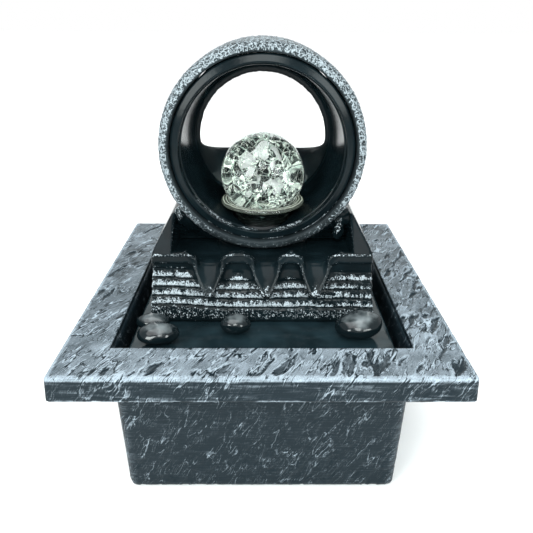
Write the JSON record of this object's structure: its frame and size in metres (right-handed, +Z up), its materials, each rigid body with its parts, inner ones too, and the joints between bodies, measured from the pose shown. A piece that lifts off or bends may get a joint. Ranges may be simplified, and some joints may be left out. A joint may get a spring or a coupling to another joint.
{
  "type": "tabletop water fountain",
  "caption": "Tabletop fountain: a square slate-look tub and rim, a lift-out brick block with spouts, and an upright ring whose lit cup floats a spinning crystal ball.",
  "frame": {"origin": "on the table, under the middle of the tub", "axes": "+Z up and along the tallest extent, the spouts face -Y, +X is right as seen from the front"},
  "size_m": [0.21, 0.21, 0.2453],
  "materials": {
    "slate": "moulded slate texture, silver dry-brushed over black",
    "black_resin": "cast resin, glossy black with silver dry-brushing on its relief",
    "rough_resin": "rough cast resin, heavily silver dry-brushed",
    "crystal": "polished ball, crackled inside",
    "acrylic": "clear moulded acrylic",
    "rubber": "matte black rubber",
    "pump_plastic": "fine spark texture",
    "cable": "smooth cable sheath",
    "vinyl": "clear soft vinyl hose",
    "steel": "zinc plated",
    "copper": "enamelled copper winding",
    "ferrite": "sintered magnet with moulded impeller",
    "shaft_ceramic": "ground white ceramic",
    "epoxy": "cast potting",
    "foam": "open-cell foam",
    "board": "green solder mask",
    "led": "phosphor dome"
  },
  "bodies": {
    "base": {"basin_tub": "slate", "rim_frame": "slate", "foot_front_left": "rubber", "foot_front_right": "rubber", "foot_rear_left": "rubber", "foot_rear_right": "rubber", "power_inlet": "pump_plastic", "inlet_seal": "rubber", "inlet_nut": "steel", "pump_lead": "cable", "light_lead_lower": "cable", "pump_body": "pump_plastic", "stator_core": "steel", "stator_coil": "copper", "potting_plug": "epoxy", "pump_shaft": "shaft_ceramic", "shaft_bush_front": "rubber", "shaft_bush_rear": "rubber", "volute_cover": "pump_plastic", "filter_sponge": "foam", "pump_grille": "pump_plastic", "suction_cup_front_left": "rubber", "suction_cup_front_right": "rubber", "suction_cup_rear_left": "rubber", "suction_cup_rear_right": "rubber", "light_socket": "pump_plastic"},
    "top": {"deck": "black_resin", "waterfall_block": "black_resin", "deck_screw_front_left": "steel", "deck_screw_front_right": "steel", "deck_screw_rear_left": "steel", "deck_screw_rear_right": "steel", "ring_screw_left": "steel", "ring_screw_right": "steel", "ring_shell": "rough_resin", "ring_liner": "black_resin", "rock_left": "rough_resin", "rock_right": "rough_resin", "pebble_front_left": "black_resin", "pebble_rear_left": "black_resin", "pebble_middle": "black_resin", "pebble_right": "black_resin", "light_housing": "pump_plastic", "light_board": "board", "led_front": "led", "led_right": "led", "led_rear": "led", "led_left": "led", "light_seal": "rubber", "ball_cup": "acrylic", "water_nozzle": "acrylic", "water_hose": "vinyl", "light_plug": "pump_plastic", "light_lead_upper": "cable"},
    "ball": {"crystal_ball": "crystal"},
    "rotor": {"pump_rotor": "ferrite"},
    "dial": {"flow_dial": "pump_plastic"}
  },
  "joints": [
    {"name": "top_lift", "type": "slide", "parent": "base", "child": "top", "axis": [0, 0, 1], "range_m": [0, 0.08]},
    {"name": "ball_spin", "type": "hinge", "parent": "top", "child": "ball", "pos_m": [0, 0.0055, 0.169], "axis": [0, 0, 1], "continuous": true},
    {"name": "rotor_spin", "type": "hinge", "parent": "base", "child": "rotor", "pos_m": [0, 0.02, 0.0255], "axis": [0, 1, 0], "continuous": true},
    {"name": "flow_dial_turn", "type": "hinge", "parent": "base", "child": "dial", "pos_m": [0, -0.0133, 0.0255], "axis": [0, 1, 0], "range_deg": [0, 90]}
  ]
}
